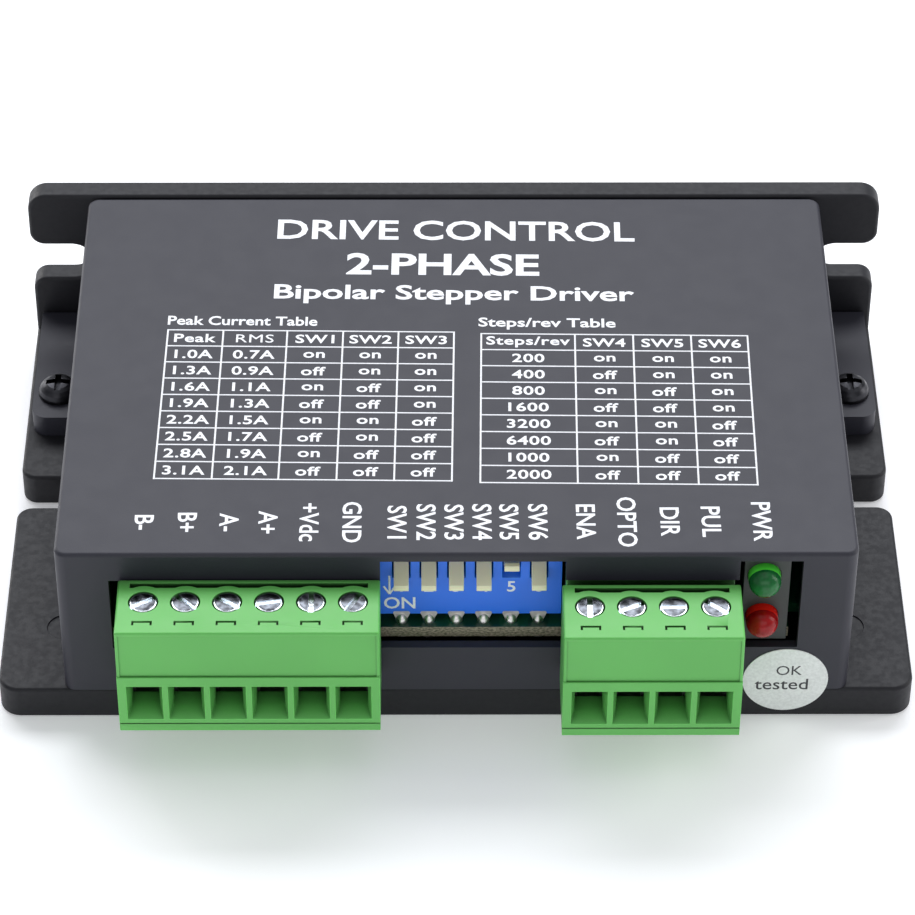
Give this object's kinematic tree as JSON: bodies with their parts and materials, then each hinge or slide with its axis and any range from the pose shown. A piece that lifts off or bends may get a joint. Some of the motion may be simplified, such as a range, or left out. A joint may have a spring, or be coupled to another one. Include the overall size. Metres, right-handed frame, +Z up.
{
  "type": "stepper driver module",
  "caption": "Flat stepper motor driver on an L-shaped heat sink, with pluggable screw terminals, side-lever configuration switches and indicator lamps.",
  "frame": {"origin": "middle of the base plate's underside", "axes": "+X along the row of terminals, +Y from the terminals to the upright back plate, +Z up out of the base plate"},
  "size_m": [0.086, 0.0634, 0.021],
  "materials": {
    "cast_metal": "satin black paint on a die-cast plate",
    "cover_plastic": "black, fine satin grain",
    "dark_screw": "black oxide",
    "board": "green solder mask on glass fibre board",
    "steel": "plain",
    "chip": "moulded epoxy",
    "gap_pad": "soft",
    "tinned": "tin plated",
    "can": "drawn can",
    "ferrite": "sintered",
    "chip_part": "sintered",
    "terminal_green": "moulded polyamide",
    "contact_brass": "tin plated",
    "zinc": "bright zinc plate",
    "cage_steel": "zinc plate",
    "switch_blue": "moulded",
    "lever_cream": "moulded",
    "holder": "moulded",
    "lens_red": "diffused lens",
    "lens_green": "diffused lens",
    "seal": "printed film"
  },
  "bodies": {
    "housing": {"heat_sink_bracket": "cast_metal", "cover": "cover_plastic", "cover_screws": "dark_screw", "circuit_board": "board", "board_screws": "steel", "power_drivers": "chip", "thermal_pad": "gap_pad", "controller_chip": "chip", "controller_leads": "tinned", "optocouplers": "chip", "capacitor_bases": "chip", "capacitor_cans": "can", "voltage_regulator": "chip", "inductor": "ferrite", "crystal": "can", "sense_resistors": "chip", "chip_parts": "chip_part", "header_6way": "terminal_green", "header_pins_6way": "tinned", "header_4way": "terminal_green", "header_pins_4way": "tinned", "dip_switch_body": "switch_blue", "dip_switch_axle": "steel", "dip_switch_pins": "tinned", "led_holder": "holder", "led_red": "lens_red", "led_green": "lens_green", "led_leads": "tinned", "seal_sticker": "seal"},
    "plug_6way": {"plug_body_6way": "terminal_green", "plug_contacts_6way": "contact_brass"},
    "plug_4way": {"plug_body_4way": "terminal_green", "plug_contacts_4way": "contact_brass"},
    "screw_1": {"terminal_screw_1": "zinc"},
    "cage_1": {"clamp_cage_1": "cage_steel"},
    "screw_2": {"terminal_screw_2": "zinc"},
    "cage_2": {"clamp_cage_2": "cage_steel"},
    "screw_3": {"terminal_screw_3": "zinc"},
    "cage_3": {"clamp_cage_3": "cage_steel"},
    "screw_4": {"terminal_screw_4": "zinc"},
    "cage_4": {"clamp_cage_4": "cage_steel"},
    "screw_5": {"terminal_screw_5": "zinc"},
    "cage_5": {"clamp_cage_5": "cage_steel"},
    "screw_6": {"terminal_screw_6": "zinc"},
    "cage_6": {"clamp_cage_6": "cage_steel"},
    "screw_7": {"terminal_screw_7": "zinc"},
    "cage_7": {"clamp_cage_7": "cage_steel"},
    "screw_8": {"terminal_screw_8": "zinc"},
    "cage_8": {"clamp_cage_8": "cage_steel"},
    "screw_9": {"terminal_screw_9": "zinc"},
    "cage_9": {"clamp_cage_9": "cage_steel"},
    "screw_10": {"terminal_screw_10": "zinc"},
    "cage_10": {"clamp_cage_10": "cage_steel"},
    "lever_1": {"dip_lever_1": "lever_cream"},
    "lever_2": {"dip_lever_2": "lever_cream"},
    "lever_3": {"dip_lever_3": "lever_cream"},
    "lever_4": {"dip_lever_4": "lever_cream"},
    "lever_5": {"dip_lever_5": "lever_cream"},
    "lever_6": {"dip_lever_6": "lever_cream"}
  },
  "joints": [
    {"name": "plug_6way_pull", "type": "slide", "parent": "housing", "child": "plug_6way", "axis": [0, -1, 0], "range_m": [0, 0.01]},
    {"name": "plug_4way_pull", "type": "slide", "parent": "housing", "child": "plug_4way", "axis": [0, -1, 0], "range_m": [-0.0007, 0.0093]},
    {"name": "screw_1_turn", "type": "hinge", "parent": "plug_6way", "child": "screw_1", "pos_m": [-0.02848, -0.03058, 0.017], "axis": [0, 0, -1], "range_deg": [0, 1620]},
    {"name": "cage_1_rise", "type": "slide", "parent": "plug_6way", "child": "cage_1", "axis": [0, 0, 1], "range_m": [0, 0.0018]},
    {"name": "screw_2_turn", "type": "hinge", "parent": "plug_6way", "child": "screw_2", "pos_m": [-0.02466, -0.03058, 0.017], "axis": [0, 0, -1], "range_deg": [0, 1620]},
    {"name": "cage_2_rise", "type": "slide", "parent": "plug_6way", "child": "cage_2", "axis": [0, 0, 1], "range_m": [0, 0.0018]},
    {"name": "screw_3_turn", "type": "hinge", "parent": "plug_6way", "child": "screw_3", "pos_m": [-0.02085, -0.03058, 0.017], "axis": [0, 0, -1], "range_deg": [0, 1620]},
    {"name": "cage_3_rise", "type": "slide", "parent": "plug_6way", "child": "cage_3", "axis": [0, 0, 1], "range_m": [0, 0.0018]},
    {"name": "screw_4_turn", "type": "hinge", "parent": "plug_6way", "child": "screw_4", "pos_m": [-0.01705, -0.03058, 0.017], "axis": [0, 0, -1], "range_deg": [0, 1620]},
    {"name": "cage_4_rise", "type": "slide", "parent": "plug_6way", "child": "cage_4", "axis": [0, 0, 1], "range_m": [0, 0.0018]},
    {"name": "screw_5_turn", "type": "hinge", "parent": "plug_6way", "child": "screw_5", "pos_m": [-0.01324, -0.03058, 0.017], "axis": [0, 0, -1], "range_deg": [0, 1620]},
    {"name": "cage_5_rise", "type": "slide", "parent": "plug_6way", "child": "cage_5", "axis": [0, 0, 1], "range_m": [0, 0.0018]},
    {"name": "screw_6_turn", "type": "hinge", "parent": "plug_6way", "child": "screw_6", "pos_m": [-0.00942, -0.03058, 0.017], "axis": [0, 0, -1], "range_deg": [0, 1620]},
    {"name": "cage_6_rise", "type": "slide", "parent": "plug_6way", "child": "cage_6", "axis": [0, 0, 1], "range_m": [0, 0.0018]},
    {"name": "screw_7_turn", "type": "hinge", "parent": "plug_4way", "child": "screw_7", "pos_m": [0.01209, -0.03128, 0.017], "axis": [0, 0, -1], "range_deg": [0, 1620]},
    {"name": "cage_7_rise", "type": "slide", "parent": "plug_4way", "child": "cage_7", "axis": [0, 0, 1], "range_m": [0, 0.0018]},
    {"name": "screw_8_turn", "type": "hinge", "parent": "plug_4way", "child": "screw_8", "pos_m": [0.01589, -0.03128, 0.017], "axis": [0, 0, -1], "range_deg": [0, 1620]},
    {"name": "cage_8_rise", "type": "slide", "parent": "plug_4way", "child": "cage_8", "axis": [0, 0, 1], "range_m": [0, 0.0018]},
    {"name": "screw_9_turn", "type": "hinge", "parent": "plug_4way", "child": "screw_9", "pos_m": [0.01971, -0.03128, 0.017], "axis": [0, 0, -1], "range_deg": [0, 1620]},
    {"name": "cage_9_rise", "type": "slide", "parent": "plug_4way", "child": "cage_9", "axis": [0, 0, 1], "range_m": [0, 0.0018]},
    {"name": "screw_10_turn", "type": "hinge", "parent": "plug_4way", "child": "screw_10", "pos_m": [0.02352, -0.03128, 0.017], "axis": [0, 0, -1], "range_deg": [0, 1620]},
    {"name": "cage_10_rise", "type": "slide", "parent": "plug_4way", "child": "cage_10", "axis": [0, 0, 1], "range_m": [0, 0.0018]},
    {"name": "lever_1_flip", "type": "hinge", "parent": "housing", "child": "lever_1", "pos_m": [-0.00508, -0.0233, 0.01698], "axis": [1, 0, 0], "range_deg": [-46, 0]},
    {"name": "lever_2_flip", "type": "hinge", "parent": "housing", "child": "lever_2", "pos_m": [-0.00254, -0.0233, 0.01698], "axis": [1, 0, 0], "range_deg": [-46, 0]},
    {"name": "lever_3_flip", "type": "hinge", "parent": "housing", "child": "lever_3", "pos_m": [0, -0.0233, 0.01698], "axis": [1, 0, 0], "range_deg": [-46, 0]},
    {"name": "lever_4_flip", "type": "hinge", "parent": "housing", "child": "lever_4", "pos_m": [0.00254, -0.0233, 0.01698], "axis": [1, 0, 0], "range_deg": [-46, 0]},
    {"name": "lever_5_flip", "type": "hinge", "parent": "housing", "child": "lever_5", "pos_m": [0.00508, -0.0233, 0.01698], "axis": [1, 0, 0], "range_deg": [0, 46]},
    {"name": "lever_6_flip", "type": "hinge", "parent": "housing", "child": "lever_6", "pos_m": [0.00762, -0.0233, 0.01698], "axis": [1, 0, 0], "range_deg": [-46, 0]}
  ],
  "couplings": [
    {"joint": "screw_1_turn", "follows": "cage_1_rise", "rad_per_m": 15708},
    {"joint": "screw_2_turn", "follows": "cage_2_rise", "rad_per_m": 15708},
    {"joint": "screw_3_turn", "follows": "cage_3_rise", "rad_per_m": 15708},
    {"joint": "screw_4_turn", "follows": "cage_4_rise", "rad_per_m": 15708},
    {"joint": "screw_5_turn", "follows": "cage_5_rise", "rad_per_m": 15708},
    {"joint": "screw_6_turn", "follows": "cage_6_rise", "rad_per_m": 15708},
    {"joint": "screw_7_turn", "follows": "cage_7_rise", "rad_per_m": 15708},
    {"joint": "screw_8_turn", "follows": "cage_8_rise", "rad_per_m": 15708},
    {"joint": "screw_9_turn", "follows": "cage_9_rise", "rad_per_m": 15708},
    {"joint": "screw_10_turn", "follows": "cage_10_rise", "rad_per_m": 15708}
  ]
}
